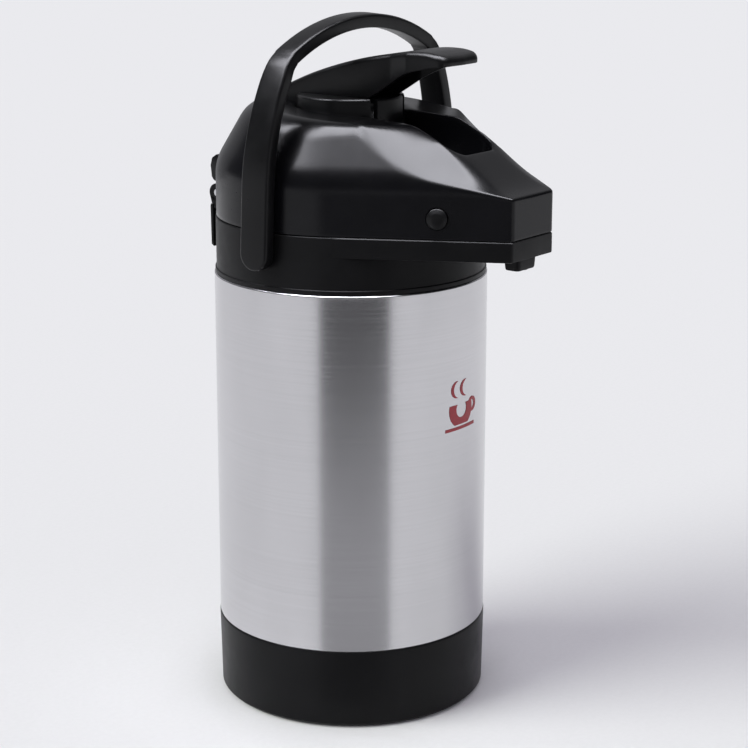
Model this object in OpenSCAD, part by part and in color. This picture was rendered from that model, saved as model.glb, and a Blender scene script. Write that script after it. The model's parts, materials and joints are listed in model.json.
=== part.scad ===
// Lever airpot for coffee: insulated steel body, plastic base and collar, rear-hinged lid with
// a pouring beak, pump lever and plunger, two release buttons and an upright bail handle.

/* [Body] */
// Outside diameter of the steel body
body_d = 160; // [140:1:180]
// Height of the black base cup
base_h = 47.5; // [30:0.5:60]
// Height of the top edge of the steel body
shell_top = 256.5; // [200:0.5:300]
// Height of the collar above the steel body
collar_h = 32.5; // [28:0.5:40]

/* [Flask] */
// Inside radius of the coffee flask
flask_r = 62; // [50:0.5:66]
// Inside radius of the flask mouth
mouth_r = 28; // [24:0.5:32]

/* [Beak] */
// Reach of the beak front face from the body axis
beak_reach = 126.4; // [110:0.2:140]
// Width of the beak front face
beak_w = 40.5; // [30:0.5:50]
// Height of the flat front face of the beak
beak_face_h = 35.3; // [28:0.1:45]
// Width of the pouring nozzle
nozzle_w = 18.6; // [14:0.1:24]

/* [Lid] */
// Wall thickness of the lid cover
lid_wall = 2.6; // [2:0.1:4]
// Width of the finger well under the lever paddle
well_w = 41; // [36:0.5:52]
// Radius of the round plunger
plunger_r = 31; // [24:0.5:33]

/* [Lever] */
// Outside width of the lever channel
lever_w = 30; // [24:0.5:34]
// Outside width of the lever paddle
paddle_w = 37; // [32:0.5:44]
// Sheet thickness of the lever
lever_t = 2.4; // [1.8:0.1:3.5]

/* [Handle] */
// Outside distance between the two handle arms
handle_span = 177.6; // [168:0.2:200]
// Height of the top of the upright handle
handle_top = 405; // [375:0.5:435]
// Width of the handle arms
handle_w = 18.7; // [14:0.1:26]
// Thickness of the handle arms
handle_t = 8; // [5:0.5:11]
// Forward lean of the handle at rest, in degrees
handle_lean = 2.5; // [0:0.5:6]

/* [Hidden] */
$fn = 96;
R = body_d / 2;
seam = shell_top + collar_h;
// radius of the collar wall
Rc = R - 1.2;
// radius of the lid wall
Rl = R - 1.6;
beak_z = seam - 11.5;
face_top = beak_z + beak_face_h;
lid_z = seam + 0.4;
hinge_y = R + 6;
hinge_z = seam + 6;
pivot_z = seam - 11;
lev_y = 45;
lev_z = seam + 61.5;
pin_z = lev_z + 2.5;
floor_z = seam + 40.5;
tube_y = -17;
pipe_z = seam - 4.6;
btn_u = 90.4;
btn_s = 40.2;
btn_z = seam + 12;
btn_a = 29;
plateau = seam + 62.6;
emblem_z = 184;

// ---- beak and lid outline -------------------------------------------------
// steps t run up the sloping top of the beak: 0 at the front face, 1.3 past the plateau
function sl_z(t) = face_top + 22.27 * t + 10.93 * t * t;
function sl_u(t) = beak_reach - 76.4 * t;
function sl_c(t) = beak_w / 2 + 22.1 * t + 3.2 * t * t;
// dome: upright wall, a 30 degree bend of 29 mm radius, then a cone
function dome_z() = seam + 24;
function dome_bend(z) = Rl - 29 * (1 - sqrt(1 - pow((z - dome_z()) / 29, 2)));
function dome_cone(z) = Rl - 3.885 - (z - dome_z() - 14.5) * 0.5774;
function dome_r(z) = z <= dome_z() ? Rl : z <= dome_z() + 14.5 ? dome_bend(z) : dome_cone(z);
// plan outline: circle r joined by tangents to a front edge at u, half width c
function tan_a(r, u, c) = atan2(c, u) + acos(min(1, r / norm([u, c])));
function tan_p(r, u, c) = [r * cos(tan_a(r, u, c)), r * sin(tan_a(r, u, c))];
function to_xy(p) = [p[1], -p[0]];
function unit(v) = v / norm(v);
function arc_pts(r, a, n) = [for (i = [0:n]) let (b = a + (360 - 2 * a) * i / n)
  to_xy([r * cos(b), r * sin(b)])];
function side_pt(r, u, c, d) = [u, c] + unit(tan_p(r, u, c) - [u, c]) * d;
function outline(r, u, c, ch, n) = concat(
  [to_xy([u, c - ch])],
  [to_xy(side_pt(r, u, c, ch))],
  arc_pts(r, tan_a(r, u, c), n),
  [to_xy([side_pt(r, u, c, ch)[0], -side_pt(r, u, c, ch)[1]])],
  [to_xy([u, ch - c])]);
function level(t, w, n) = outline(dome_r(sl_z(t)) - w, sl_u(t) - w, sl_c(t) - 0.6 * w, 2, n);
function up(p, z) = [for (q = p) [q[0], q[1], z]];
function join(v, i = 0) = i >= len(v) ? [] : concat(v[i], join(v, i + 1));

module stack(rings) {
  n = len(rings[0]);
  m = len(rings);
  pts = join(rings);
  bot = [[for (i = [0:n - 1]) i]];
  top = [[for (i = [0:n - 1]) (m - 1) * n + n - 1 - i]];
  side = [for (k = [0:m - 2]) for (i = [0:n - 1]) for (h = [0, 1])
    let (a = k * n + i, b = k * n + (i + 1) % n)
    h == 0 ? [a, a + n, b] : [b, a + n, b + n]];
  polyhedron(points = pts, faces = concat(bot, side, top), convexity = 6);
}

module lid_solid(z0, w, n) {
  ts = [0, 0.06, 0.15, 0.26, 0.38, 0.5, 0.64, 0.78, 0.92, 1.06, 1.18, 1.28];
  stack(concat([up(level(0, w, n), z0)], [for (t = ts) up(level(t, w, n), sl_z(t) - w)]));
}

module beak_prism(r, w, z0, z1) {
  translate([0, 0, z0]) linear_extrude(z1 - z0)
    polygon(outline(r - w, beak_reach - w, beak_w / 2 - 0.6 * w, 2, 72));
}

// the beak alone: side walls just inside the tangent, closed across the body
module beak_block(r, w, z0, z1) {
  a = tan_a(r, beak_reach, beak_w / 2);
  p = outline(r - w - 0.05, beak_reach - w, beak_w / 2 - 0.6 * w, 2, 1);
  q = [for (b = [a, -a]) to_xy([(r - w - 8) * cos(b), (r - w - 8) * sin(b)])];
  translate([0, 0, z0]) linear_extrude(z1 - z0)
    polygon([p[0], p[1], p[2], q[0], q[1], p[3], p[4], p[5]]);
}

// half space above the gently sloping plateau, lowered by d
module above_plateau(d) {
  translate([0, 0, plateau - d]) rotate([3.72, 0, 0]) translate([-100, -100, 0])
    cube([200, 200, 60]);
}

// side profile in (u, z) drawn across the width w
module across(w, pts) {
  rotate([90, 0, -90]) translate([0, 0, -w / 2]) linear_extrude(w) polygon(pts);
}

module xcyl(r, x0, x1, y, z, f = 48) {
  translate([x0, y, z]) rotate([0, 90, 0]) cylinder(r = r, h = x1 - x0, $fn = f);
}

module ring(r0, r1, z0, z1) {
  rotate_extrude() polygon([[r0, z0], [r1, z0], [r1, z1], [r0, z1]]);
}

// ---- base -----------------------------------------------------------------
module foot_ring() {
  color("#1b1b1c") rotate_extrude()
    polygon([[65, 0], [73, 0], [73.8, 0.8], [74, 4], [64, 4], [64.2, 0.8]]);
}

module base_cup() {
  color("#161617") difference() {
    rotate_extrude() polygon([[0, 4], [75, 4], [75, 1.6], [75.6, 1], [R - 2, 1], [R - 1, 1.5],
      [R - 0.6, 2.6], [R + 0.3, base_h - 1], [R - 0.1, base_h], [R - 1, base_h],
      [R - 1, base_h - 4.6], [R - 3, base_h - 4.6], [R - 3, 7.5], [R - 3.5, 7], [0, 7]]);
    for (a = [0:120:240]) rotate([0, 0, a]) translate([0, 46, 0]) cylinder(r = 1.8, h = 20, $fn = 24);
  }
}

module base_screws() {
  color("#a9adb3") for (a = [0:120:240]) rotate([0, 0, a]) translate([0, 46, 0]) difference() {
    union() {
      translate([0, 0, 1.6]) cylinder(r = 3.6, h = 2.4, $fn = 24);
      translate([0, 0, 3.9]) cylinder(r = 1.5, h = 9, $fn = 24);
    }
    translate([-0.4, -2.2, 1.5]) cube([0.8, 4.4, 0.9]);
    translate([-2.2, -0.4, 1.5]) cube([4.4, 0.8, 0.9]);
  }
}

module flask_cradle() {
  color("#2a2a2c") difference() {
    union() {
      ring(40, 60, 7, 10);
      ring(57, 60, 7, 16);
      for (a = [0:120:240]) rotate([0, 0, a]) translate([0, 46, 7]) cylinder(r = 5, h = 7, $fn = 32);
    }
    for (a = [0:120:240]) rotate([0, 0, a]) translate([0, 46, 6]) cylinder(r = 1.5, h = 7, $fn = 24);
  }
}

module flask_cushion() {
  color("#3a3a3c") rotate_extrude()
    polygon([[50.5, 14], [53, 14], [56.6, 10.4], [56.6, 16], [60, 16.4], [60, 18], [50.5, 18]]);
}

// ---- insulated body -------------------------------------------------------
module outer_shell() {
  b = base_h;
  t = shell_top;
  color("#b9bcc0") rotate_extrude($fn = 144) polygon([[R - 1.4, b - 4.5], [R - 1.4, b + 0.1],
    [R - 0.6, b + 0.2], [R, b + 0.9], [R, t - 1.2], [R - 0.3, t - 0.4], [R - 1, t - 0.1],
    [R - 4, t - 0.1], [R - 4, t + 7.4], [R - 4.8, t + 7.4], [R - 4.8, t - 0.9],
    [R - 1.2, t - 0.9], [R - 0.8, t - 1.4], [R - 0.8, b + 1], [R - 1.4, b + 0.4],
    [R - 2.2, b], [R - 2.2, b - 4.5]]);
}

// bottle profile: floor height z0, barrel radius r, shoulder top zs, neck radius rn, lip height zt
function bottle(r, rn, z0, zs, zt) = concat([[0, z0 + 3], [r - 20, z0 + 3], [r - 16, z0]],
  [for (a = [-90:15:0]) [r - 9 + 9 * cos(a), z0 + 9 + 9 * sin(a)]],
  [for (a = [0:15:75]) [r - 24 + 24 * cos(a), zs - 24 + 24 * sin(a)]],
  [[rn + 3, zs + 1.5], [rn, zs + 4.5], [rn, zt]]);
function flip(p) = [for (i = [len(p) - 1:-1:0]) p[i]];

module flask_outer() {
  r = flask_r + 6;
  z = seam - 55;
  color("#c4c7ca") rotate_extrude() polygon(concat(bottle(r, mouth_r + 3.4, 18, z, seam - 20.6),
    flip(bottle(r - 0.8, mouth_r + 2.6, 18.8, z - 0.8, seam - 20.6))));
}

module flask_inner() {
  r = flask_r + 0.8;
  z = seam - 60;
  color("#cfd2d5") rotate_extrude() polygon(concat(bottle(r, mouth_r + 0.8, 24, z, seam - 20.5),
    [[mouth_r + 3.4, seam - 20.5], [mouth_r + 3.4, seam - 19.7]],
    flip(bottle(flask_r, mouth_r, 24.8, z - 0.8, seam - 19.7))));
}

module neck_seal() {
  m = mouth_r;
  color("#4a4a4c") rotate_extrude() polygon([[m + 3.5, seam - 30], [m + 5.4, seam - 30],
    [m + 5.4, seam - 18.2], [m + 0.6, seam - 18.2], [m + 0.6, seam - 19.6], [m + 3.5, seam - 19.6]]);
}

module mouth_plug() {
  m = mouth_r;
  color("#26262a") difference() {
    rotate_extrude() polygon([[0, seam - 26], [m - 3, seam - 26], [m - 0.3, seam - 24],
      [m - 0.3, seam - 18.1], [m + 4.6, seam - 18.1], [m + 4.6, seam - 16], [0, seam - 16]]);
    translate([0, 0, seam - 30]) cylinder(r = 9, h = 20, $fn = 32);
    translate([0, tube_y, seam - 30]) cylinder(r = 4.1, h = 20, $fn = 32);
  }
}

module dip_tube() {
  color("#dfe1e3") translate([0, tube_y, 0]) difference() {
    union() {
      translate([0, 0, 33]) cylinder(r = 4.05, h = seam - 48.5, $fn = 32);
      translate([0, 0, seam - 31]) cylinder(r = 5.4, h = 4.9, $fn = 32);
    }
    translate([0, 0, 32]) cylinder(r = 3.2, h = 250, $fn = 32);
    translate([-6, -1.2, 32]) cube([12, 2.4, 4]);
  }
}

// ---- collar and spout -----------------------------------------------------
module collar() {
  s = shell_top;
  color("#19191b") difference() {
    union() {
      rotate_extrude($fn = 144) polygon([[R - 3.9, s], [R - 0.9, s], [R - 0.5, s + 0.5],
        [R - 0.5, s + 2.3], [Rc - 0.1, s + 3], [Rc, s + 4], [Rc, seam - 0.6], [Rc - 0.5, seam],
        [Rc - 3, seam], [Rc - 3, seam - 18], [38, seam - 18], [38, seam - 16.5],
        [mouth_r + 5.5, seam - 16.5], [mouth_r + 5.5, seam - 29], [38, seam - 29],
        [38, seam - 21], [R - 6, seam - 21], [R - 3.9, s + 8]]);
      difference() {
        beak_block(Rc, 0, beak_z, seam);
        translate([0, 0, beak_z - 1]) cylinder(r = Rc - 1, h = 20);
      }
      for (x = [-1, 1]) xcyl(6.5, min(x * 70, x * (Rc + 1.6)), max(x * 70, x * (Rc + 1.6)), 0, pivot_z);
    }
    beak_block(Rc, 2.6, beak_z + 2.6, seam + 1);
    translate([0, -118, beak_z - 1]) cylinder(r = 6.1, h = 6, $fn = 32);
    xcyl(3.05, -90, 90, 0, pivot_z);
    for (x = [-7.5, 7.5]) translate([x, 90, seam - 12]) rotate([90, 0, 0])
      cylinder(r = 1.3, h = 20, $fn = 24);
  }
}

module pipe_run(r, e) {
  z = pipe_z;
  translate([0, tube_y, seam - 15.4 - e]) cylinder(r = r, h = 3.8 + e, $fn = 24);
  translate([0, tube_y - 7, z - 7]) rotate([90, 0, 90])
    rotate_extrude(angle = 90, $fn = 64) translate([7, 0]) circle(r = r, $fn = 24);
  translate([0, tube_y - 7, z]) rotate([90, 0, 0]) cylinder(r = r, h = 87, $fn = 24);
  translate([0, -111, z - 7]) rotate([90, 0, -90]) rotate_extrude(angle = 90, $fn = 64)
    translate([7, 0]) circle(r = r, $fn = 24);
  translate([0, -118, seam - 17 - e]) cylinder(r = r, h = 5.4 + e, $fn = 24);
}

module spout_pipe() {
  color("#d9dbdd") difference() {
    pipe_run(3.6, 0);
    pipe_run(2.6, 1);
  }
}

function rounded(w, d, r) = concat(bend([w - r, d - r], r, 0, 90, 4),
  bend([r - w, d - r], r, 90, 180, 4), bend([r - w, r - d], r, 180, 270, 4),
  bend([w - r, r - d], r, 270, 360, 4));

module nozzle() {
  w = nozzle_w / 2;
  z = beak_z;
  color("#1d1d1f") translate([0, -118.4, 0]) difference() {
    union() {
      translate([0, 0, z - 5.8]) linear_extrude(5.7) polygon(rounded(w, 5.1, 2));
      translate([0, 0, z - 7]) linear_extrude(1.2) polygon(rounded(w - 0.6, 4.5, 1.6));
      translate([0, 0.4, z - 0.2]) cylinder(r = 6, h = 1.2, $fn = 64);
    }
    translate([0, 0.4, 0]) rotate_extrude($fn = 64) polygon([[0, z - 8], [4.1, z - 8],
      [3.75, z - 5.6], [3.75, z - 1.4], [5.1, z - 0.4], [5.1, z + 1.1], [0, z + 1.1]]);
  }
}

// ---- rear hinge -----------------------------------------------------------
module hinge_bracket() {
  y = hinge_y;
  z = hinge_z;
  color("#1a1a1c") difference() {
    union() {
      across(44, [[-y - 2, seam - 27], [-y - 4, seam - 25.6], [-y - 4.4, z - 8],
        [-y - 3.6, z - 6.6], [-y - 2, z - 6.6]]);
      across(30, [[1 - R, seam - 22], [-y - 2.5, seam - 22], [-y - 2.5, z - 8.6], [1 - R, z - 8.6]]);
      for (x = [-1, 1]) translate([x * 17.7, 0, 0]) {
        xcyl(5.5, -3.6, 3.6, y, z);
        across(7.2, [[-y + 3, z - 9.5], [-y + 3.4, z - 4.3], [-y - 5.2, z - 1], [-y - 3, z - 9.5]]);
      }
    }
    xcyl(2.04, -30, 30, y, z, 32);
    translate([0, 0, -1]) cylinder(r = Rc + 0.05, h = 400, $fn = 144);
    for (x = [-7.5, 7.5]) translate([x, y + 10, seam - 12]) rotate([90, 0, 0])
      cylinder(r = 1.6, h = 30, $fn = 24);
    for (x = [-7.5, 7.5]) translate([x, y + 10, seam - 12]) rotate([90, 0, 0])
      cylinder(r = 3.4, h = 10, $fn = 24);
  }
}

module bracket_screws() {
  color("#8d9095") for (x = [-7.5, 7.5]) translate([x, hinge_y, seam - 12]) rotate([90, 0, 0])
    difference() {
      union() {
        translate([0, 0, -2]) cylinder(r = 3.1, h = 2, $fn = 24);
        translate([0, 0, -0.1]) cylinder(r = 1.25, h = 12, $fn = 24);
      }
      translate([-0.4, -2, -2.5]) cube([0.8, 4, 1.3]);
    }
}

module hinge_pin() {
  color("#b4b7bb") xcyl(2, -21, 21, hinge_y, hinge_z, 32);
}

// ---- emblem: a small cup with two curls of steam --------------------------
module emblem_shape() {
  difference() {
    translate([0, 158]) intersection() {
      circle(r = 11, $fn = 48);
      translate([-12, -9]) square([24, 12]);
    }
    translate([0, 158]) circle(r = 5, $fn = 24);
  }
  difference() {
    translate([11.5, 158.5]) circle(r = 4.4, $fn = 24);
    translate([11, 158.5]) circle(r = 2.5, $fn = 24);
  }
  translate([-14, 146]) square([28, 1.8]);
  for (x = [-4.5, 3.5]) difference() {
    translate([x, 170]) circle(r = 5, $fn = 24);
    translate([x + 2.2, 170]) circle(r = 5, $fn = 24);
  }
}

module emblem() {
  color("#7b2a1e") intersection() {
    ring(R + 0.02, R + 0.22, emblem_z - 20, emblem_z + 25);
    translate([0, -60, 0]) rotate([90, 0, 0]) linear_extrude(30) translate([0, emblem_z - 158])
      emblem_shape();
  }
}

// ---- handle ---------------------------------------------------------------
module pivot_pin(x) {
  color("#9a9da2") {
    xcyl(3, min(x * 69, x * 86), max(x * 69, x * 86), 0, pivot_z);
    xcyl(6.2, min(x * 66.4, x * 69.8), max(x * 66.4, x * 69.8), 0, pivot_z);
  }
}
module pivot_pin_left() { pivot_pin(-1); }
module pivot_pin_right() { pivot_pin(1); }

// half outline of the bail: foot, long arm arc, shoulder arc, crown arc; o is the inset
function bend(c, r, a0, a1, n) = [for (i = [0:n]) let (a = a0 + (a1 - a0) * i / n)
  c + r * [cos(a), sin(a)]];
function bail(o) = let (x = handle_span / 2, z = pivot_z + 36) concat(
  [[x - o, pivot_z - 12]],
  bend([x - 141, z], 141 - o, 0, 28, 7),
  bend([x - 34.1, z + 56.6], 20 - o, 34, 56, 3),
  bend([0, handle_top - 135], 135 - o, 61.5, 90, 6));
function mirror_x(p) = [for (i = [len(p) - 2:-1:0]) [-p[i][0], p[i][1]]];
function whole(p) = concat(p, mirror_x(p));

module handle() {
  w = handle_w / 2;
  z = handle_top;
  color("#222224") translate([0, 0, pivot_z]) rotate([handle_lean, 0, 0])
    translate([0, 0, -pivot_z]) difference() {
    intersection() {
      translate([0, 20, 0]) rotate([90, 0, 0]) linear_extrude(40)
        polygon(concat(whole(bail(0)), flip(whole(bail(handle_t)))));
      union() {
        xcyl(w, -100, 100, 0, pivot_z, 64);
        rotate([90, 0, 90]) translate([0, 0, -100]) linear_extrude(200)
          polygon([[-w, pivot_z], [w, pivot_z], [w, z - 80], [w - 1, z - 30], [w - 2.3, z - 18],
            [w - 2.6, z], [2.6 - w, z], [2.3 - w, z - 18], [1 - w, z - 30], [-w, z - 80]]);
      }
    }
    for (x = [-1, 1]) xcyl(3.05, min(x * 78, x * 86.4), max(x * 78, x * 86.4), 0, pivot_z);
  }
}

// ---- lid ------------------------------------------------------------------
// plan of the opening in the lid top, grown by g: lever slot, plunger well, finger well
module well_plan(g) {
  w = well_w / 2 + g;
  translate([-lever_w / 2 - 2 - g, -2]) square([lever_w + 4 + 2 * g, lev_y + 13.5 + g]);
  circle(r = plunger_r + 1.2 + g);
  translate([-w, -77]) square([2 * w, 77]);
  translate([-w + 13, -90 - g]) square([2 * w - 26, 30]);
  for (x = [-1, 1]) translate([x * (w - 13), -77 - g]) circle(r = 13, $fn = 64);
}

// the opening itself, with the scooped floor of the finger well
module well(g) {
  z = floor_z - g;
  intersection() {
    translate([0, 0, z - 20]) linear_extrude(100) well_plan(g);
    across(200, [[-80, z], [44, z], [48, z - 2.4], [53, z - 4.6], [60, z - 5.5], [76, z - 5.5],
      [83, z - 4.6], [87.5, z - 1.8], [91, z + 3.5], [94, z + 14], [94, z + 60], [-80, z + 60]]);
  }
}

module lid_cover() {
  y = hinge_y;
  z = hinge_z;
  color("#1c1c1f") difference() {
    union() {
      difference() {
        lid_solid(lid_z, 0, 64);
        difference() {
          lid_solid(lid_z - 1, lid_wall, 64);
          well(2.2);
          above_plateau(lid_wall);
          translate([-21, lev_y - 7, floor_z]) cube([42, 14, 40]);
          for (p = [[-30, -60], [30, -60], [-52, 30], [52, 30]]) translate([p[0], p[1], lid_z + 3.4])
            cylinder(r = 4, h = 60, $fn = 32);
        }
      }
      across(40, [[4 - R, z + 6.6], [-y - 3, z + 6.6], [-y - 5, z + 9], [-y - 5.8, z + 16],
        [-y - 4.6, z + 20.6], [-y - 1, z + 23], [4 - R, z + 23]]);
      xcyl(5.9, -13.6, 13.6, y, z);
      across(27.2, [[3 - R, z + 1], [-y + 4.6, z - 3], [-y - 4.6, z + 3], [-y - 4.6, z + 8],
        [3 - R, z + 8]]);
    }
    well(0);
    above_plateau(0);
    translate([0, 0, floor_z - 20]) cylinder(r = plunger_r + 0.6, h = 60);
    xcyl(2.04, -30, 30, lev_y, lev_z, 32);
    xcyl(2.04, -30, 30, y, z, 32);
    for (x = [-1, 1]) at_button(x) translate([0, 0, -8]) cylinder(r = 6.3, h = 14, $fn = 48);
    for (p = [[-30, -60], [30, -60], [-52, 30], [52, 30]]) translate([p[0], p[1], lid_z])
      cylinder(r = 1.25, h = 14, $fn = 24);
  }
}

module lid_base() {
  z = lid_z + 0.8;
  color("#242428") difference() {
    union() {
      beak_prism(Rl, lid_wall + 0.2, z, z + 2.5);
      ring(plunger_r + 4, plunger_r + 6, z + 2.4, z + 30);
      translate([0, 0, seam - 14]) cylinder(r = 12, h = 17);
    }
    translate([0, 0, seam - 20]) cylinder(r = 4, h = 40, $fn = 32);
    for (p = [[-30, -60], [30, -60], [-52, 30], [52, 30]]) translate([p[0], p[1], z - 2])
      cylinder(r = 1.7, h = 9, $fn = 24);
    for (x = [-1, 1]) translate([x * (btn_s - 7.4), -btn_u + 4.2, z]) cube([12, 14, 12], center = true);
  }
}

module lid_screws() {
  z = lid_z + 0.8;
  color("#8f9297") for (p = [[-30, -60], [30, -60], [-52, 30], [52, 30]])
    translate([p[0], p[1], 0]) difference() {
      union() {
        translate([0, 0, z - 0.75]) cylinder(r = 3, h = 0.75, $fn = 24);
        translate([0, 0, z - 0.1]) cylinder(r = 1.2, h = 12, $fn = 24);
      }
      translate([-0.3, -1.8, z - 1]) cube([0.6, 3.6, 0.6]);
    }
}

module lid_gasket() {
  z = seam - 15.6;
  color("#53534f") rotate_extrude() polygon([[9.2, z + 0.6], [9.8, z], [11.2, z], [11.8, z + 0.6],
    [11.8, z + 1.6], [9.2, z + 1.6]]);
}

module air_valve() {
  z = lid_z + 3.3;
  color("#5b3a2e") rotate_extrude() polygon([[0, z - 4], [2, z - 4], [2, z], [8, z], [8.4, z + 0.5],
    [8, z + 1], [0, z + 1.6]]);
}

// bowed leaf between the two latches, standing on the lid base
module latch_spring() {
  function bow(r) = [for (a = [-24:4:24]) [r * sin(a), 60 - btn_u + 8 - r * cos(a)]];
  color("#b8bbc0") translate([0, 0, lid_z + 3.3]) linear_extrude(8)
    polygon(concat(bow(60), flip(bow(59.3))));
}

module lever_pin() {
  color("#b4b7bb") xcyl(2, -20.8, 20.8, lev_y, lev_z, 32);
}

// ---- pump -----------------------------------------------------------------
module bellows() {
  n = 5;
  z0 = lid_z + 3.4;
  h = floor_z - 9.2 - z0;
  function fold(o) = [for (i = [0:2 * n]) [26 - o - 3.4 * (i % 2), z0 + h * i / (2 * n)]];
  color("#3b3b3b") rotate_extrude() polygon(concat(fold(0), flip(fold(1))));
}

module return_spring() {
  z0 = lid_z + 3.4;
  h = floor_z - 9.2 - z0;
  turns = 5;
  n = turns * 20;
  rings = [for (i = [0:n]) let (a = 360 * turns * i / n, z = z0 + 0.8 + (h - 1.6) * i / n)
    [for (k = [0:5]) let (r = 16 + 0.8 * cos(60 * k)) [r * cos(a), r * sin(a), z + 0.8 * sin(60 * k)]]];
  color("#c3c6ca") stack(rings);
}

module plunger() {
  z0 = floor_z - 20;
  z1 = seam + 70;
  r = plunger_r;
  s = lever_w / 2;
  color("#202023") difference() {
    union() {
      rotate_extrude() polygon([[r - 2.6, z0], [r, z0], [r, z1 - 1.5], [r - 1.5, z1], [0, z1],
        [0, z1 - 3], [r - 2.6, z1 - 3], [r - 2.6, floor_z - 6.6], [0, floor_z - 6.6],
        [0, floor_z - 9], [r - 2.6, floor_z - 9]]);
      translate([-s + 3.1, -10, floor_z - 7]) cube([2 * s - 6.2, 20, z1 - floor_z + 5]);
    }
    for (x = [-1, 1]) translate([x * (s - 1.2) - 1.9, -40, floor_z + 14]) cube([3.8, 80, 40]);
    translate([-20, -0.6, pin_z - 2.7]) cube([40, 3.2, 5.4]);
    for (y = [-0.6, 2.6]) xcyl(2.7, -20, 20, y, pin_z, 32);
  }
}

// lever outline in (u, z): top edge, tip, then the lower edge of the flanges
module lever() {
  z = lev_z;
  y = lev_y;
  w = lever_w / 2;
  p = paddle_w / 2;
  top = [[-y - 6.6, z - 1], [-y - 5.6, z + 4.4], [-y - 2, z + 8.4], [-36, z + 12.9], [-18, z + 20.2],
    [0.6, z + 26.2], [19.5, z + 31], [38, z + 34.4], [54, z + 36.8], [66, z + 37], [73, z + 36],
    [77, z + 34.3], [79, z + 32]];
  low = [[79, z + 29.8], [78, z + 29.2], [72, z + 29], [62.5, z + 27], [49.6, z + 23.4],
    [30, z + 12], [8, z - 1.2], [4, z - 3], [-4, z - 3.6], [-20, z - 4], [-y, z - 6.6],
    [-y - 4.6, z - 5]];
  color("#29292c") difference() {
    intersection() {
      across(p * 2, concat(top, low));
      translate([0, 0, z - 20]) linear_extrude(100) polygon(whole(concat([[w, y + 10], [w, -40]],
        bend([w + 6, -40], 6, 180, 215, 3), bend([p - 7, -54], 7, 25, 0, 2),
        bend([p - 6, -72], 6, 0, -75, 5), [[0, -79.4]])));
    }
    difference() {
      across(2 * w - 2 * lever_t, [for (q = top) [q[0] - (q[0] > 74 ? 6 : q[0] < -y ? -2.4 : 0),
        q[1] - lever_t], [68, z + 10], [-y - 6, z - 30]]);
      across(2 * w, [[-y - 12, z + 2], [-y - 3.4, z + 3], [-y - 3.4, z - 12], [-y - 12, z - 12]]);
    }
    xcyl(2.06, -30, 30, y, z, 32);
    xcyl(2.2, -30, 30, 0, pin_z, 32);
  }
}

module link_pin() {
  color("#b4b7bb") xcyl(2.2, -lever_w / 2, lever_w / 2, 0, pin_z, 32);
}

// ---- release buttons ------------------------------------------------------
// local frame of a button: +Z points out of the side wall of the beak
module at_button(x) {
  translate([x * btn_s, -btn_u, btn_z]) rotate([0, 0, x > 0 ? -btn_a : 180 + btn_a])
    rotate([0, 90, 0]) children();
}

module button() {
  color("#2b2b2e") rotate_extrude($fn = 64) polygon([[0, -5.9], [4.8, -5.9], [4.8, -3.4], [5.8, -3.4],
    [5.8, 0.6], [5.4, 1.3], [4.5, 1.9], [3.1, 2.4], [1.6, 2.65], [0, 2.7]]);
}
module button_left() { at_button(-1) button(); }
module button_right() { at_button(1) button(); }

module latch(x) {
  color("#303033") translate([x * (btn_s - 6.4), -btn_u + 3.6, 0]) rotate([0, 0, x > 0 ? -btn_a : 180 + btn_a])
    difference() {
      translate([-2, -3, seam - 6]) cube([3.4, 6, 20]);
      translate([-3, -4, seam - 4]) rotate([0, 20, 0]) cube([2, 8, 4]);
    }
}
module latch_left() { latch(-1); }
module latch_right() { latch(1); }

foot_ring();
base_cup();
base_screws();
flask_cradle();
flask_cushion();
outer_shell();
flask_outer();
flask_inner();
neck_seal();
mouth_plug();
dip_tube();
collar();
spout_pipe();
nozzle();
hinge_bracket();
bracket_screws();
hinge_pin();
emblem();
pivot_pin_left();
pivot_pin_right();
handle();
lid_cover();
lid_base();
lid_screws();
lid_gasket();
air_valve();
latch_spring();
lever_pin();
bellows();
return_spring();
plunger();
lever();
link_pin();
button_left();
button_right();
latch_left();
latch_right();
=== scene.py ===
"""Lever airpot: detailed meshes, materials, floor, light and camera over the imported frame."""
import math

import bmesh
import bpy
from mathutils import Matrix, Vector
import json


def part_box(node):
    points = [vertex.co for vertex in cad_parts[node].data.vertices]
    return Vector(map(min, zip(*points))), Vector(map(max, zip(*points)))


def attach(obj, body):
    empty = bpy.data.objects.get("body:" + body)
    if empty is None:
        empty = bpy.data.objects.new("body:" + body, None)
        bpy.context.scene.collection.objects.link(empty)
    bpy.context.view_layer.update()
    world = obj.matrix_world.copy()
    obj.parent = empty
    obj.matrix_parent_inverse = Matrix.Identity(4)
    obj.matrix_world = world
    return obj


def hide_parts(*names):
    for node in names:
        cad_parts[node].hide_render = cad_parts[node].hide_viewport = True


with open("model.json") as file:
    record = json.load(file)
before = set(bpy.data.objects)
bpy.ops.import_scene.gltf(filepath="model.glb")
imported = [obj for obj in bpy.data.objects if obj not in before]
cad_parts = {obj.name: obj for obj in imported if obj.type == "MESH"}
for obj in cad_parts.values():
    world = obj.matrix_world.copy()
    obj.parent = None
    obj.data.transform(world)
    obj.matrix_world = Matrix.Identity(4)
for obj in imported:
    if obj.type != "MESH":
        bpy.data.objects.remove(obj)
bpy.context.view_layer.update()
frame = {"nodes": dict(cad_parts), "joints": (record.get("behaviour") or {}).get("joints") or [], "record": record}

MM = 0.001
TAU = 2 * math.pi

# ---- driving sizes in millimetres, from the frame wherever a node gives them -----------


def box_mm(node):
    """Lowest and highest corner of a CAD node."""
    low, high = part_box(node)
    return Vector(low) / MM, Vector(high) / MM


def joint_mm(name):
    """A joint's place."""
    joint = next(j for j in frame["joints"] if j["name"] == name)
    return Vector(joint["pos_m"]) / MM


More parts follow.
